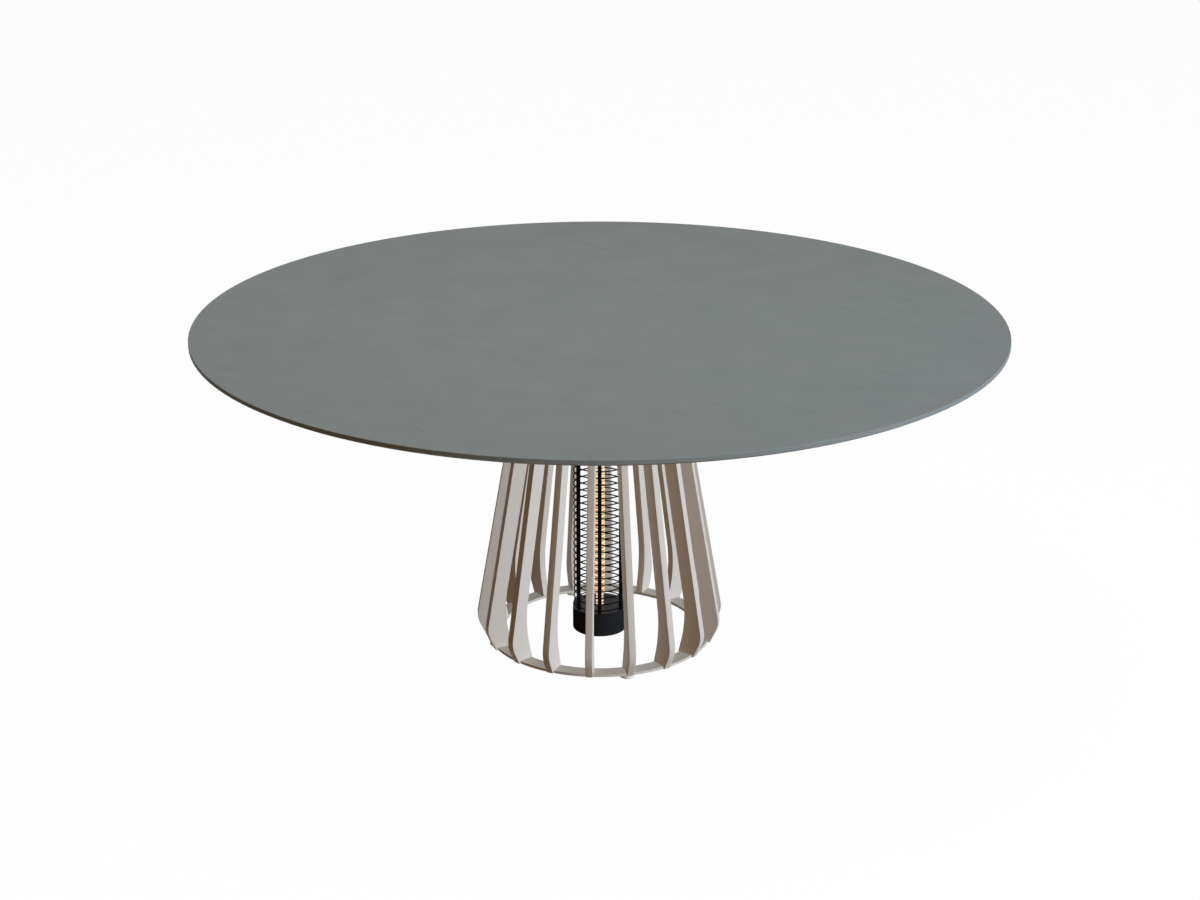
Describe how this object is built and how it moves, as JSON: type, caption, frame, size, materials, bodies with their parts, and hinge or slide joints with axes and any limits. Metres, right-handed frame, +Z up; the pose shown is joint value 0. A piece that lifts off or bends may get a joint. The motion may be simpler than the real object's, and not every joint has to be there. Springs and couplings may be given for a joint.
{
  "type": "round dining table",
  "caption": "Round stone top on a pedestal of leaning flat slats, with a glowing tube heater in a wire guard hanging inside.",
  "frame": {"origin": "on the floor, at the centre of the round top and of the pedestal", "axes": "+Z up; -Y towards the side that the picture shows; the top and the pedestal are round about Z"},
  "size_m": [1.8, 1.7996, 0.754],
  "materials": {
    "top": "matte, cloudy",
    "pedestal_paint": "satin",
    "ring_paint": "satin",
    "frame_paint": "matte",
    "glide": "matte",
    "screw_steel": "bright",
    "insert_brass": "plain",
    "black_plastic": "matte",
    "heater_black": "satin",
    "holder_ceramic": "matte",
    "tube_glass": "frosted, glowing",
    "element": "glowing",
    "lead_sleeve": "woven glass sleeve"
  },
  "bodies": {
    "table": {"table_top": "top", "top_inserts": "insert_brass", "top_screws": "screw_steel", "support_arm_1": "frame_paint", "support_arm_2": "frame_paint", "support_arm_3": "frame_paint", "support_arm_4": "frame_paint", "support_arm_5": "frame_paint", "support_arm_6": "frame_paint", "arm_end_caps": "black_plastic", "arm_bolts": "screw_steel", "arm_nuts": "screw_steel", "head_plate": "frame_paint", "slat_screws_upper": "screw_steel", "slat_01": "pedestal_paint", "slat_02": "pedestal_paint", "slat_03": "pedestal_paint", "slat_04": "pedestal_paint", "slat_05": "pedestal_paint", "slat_06": "pedestal_paint", "slat_07": "pedestal_paint", "slat_08": "pedestal_paint", "slat_09": "pedestal_paint", "slat_10": "pedestal_paint", "slat_11": "pedestal_paint", "slat_12": "pedestal_paint", "slat_13": "pedestal_paint", "slat_14": "pedestal_paint", "slat_15": "pedestal_paint", "slat_16": "pedestal_paint", "slat_17": "pedestal_paint", "slat_18": "pedestal_paint", "slat_screws_lower": "screw_steel", "bottom_ring": "ring_paint", "heater_base": "heater_black", "heater_base_lid": "heater_black", "heater_head": "heater_black", "heater_head_lid": "heater_black", "housing_screws": "screw_steel", "guard_rods": "heater_black", "guard_conduit": "heater_black", "guard_rings": "heater_black", "guard_screws": "screw_steel", "lamp_holders": "holder_ceramic", "holder_screws": "screw_steel", "quartz_tube": "tube_glass", "heating_element": "element", "terminal_block": "holder_ceramic", "heater_leads": "lead_sleeve", "cable_gland": "black_plastic", "hanger_stem": "screw_steel", "stem_nuts": "screw_steel"},
    "glide_1": {"glide_pad_1": "glide", "glide_stud_1": "screw_steel"},
    "glide_2": {"glide_pad_2": "glide", "glide_stud_2": "screw_steel"},
    "glide_3": {"glide_pad_3": "glide", "glide_stud_3": "screw_steel"},
    "glide_4": {"glide_pad_4": "glide", "glide_stud_4": "screw_steel"}
  },
  "joints": [
    {"name": "glide_1_level", "type": "slide", "parent": "table", "child": "glide_1", "axis": [0, 0, -1], "range_m": [0, 0.005]},
    {"name": "glide_2_level", "type": "slide", "parent": "table", "child": "glide_2", "axis": [0, 0, -1], "range_m": [0, 0.005]},
    {"name": "glide_3_level", "type": "slide", "parent": "table", "child": "glide_3", "axis": [0, 0, -1], "range_m": [0, 0.005]},
    {"name": "glide_4_level", "type": "slide", "parent": "table", "child": "glide_4", "axis": [0, 0, -1], "range_m": [0, 0.005]}
  ]
}
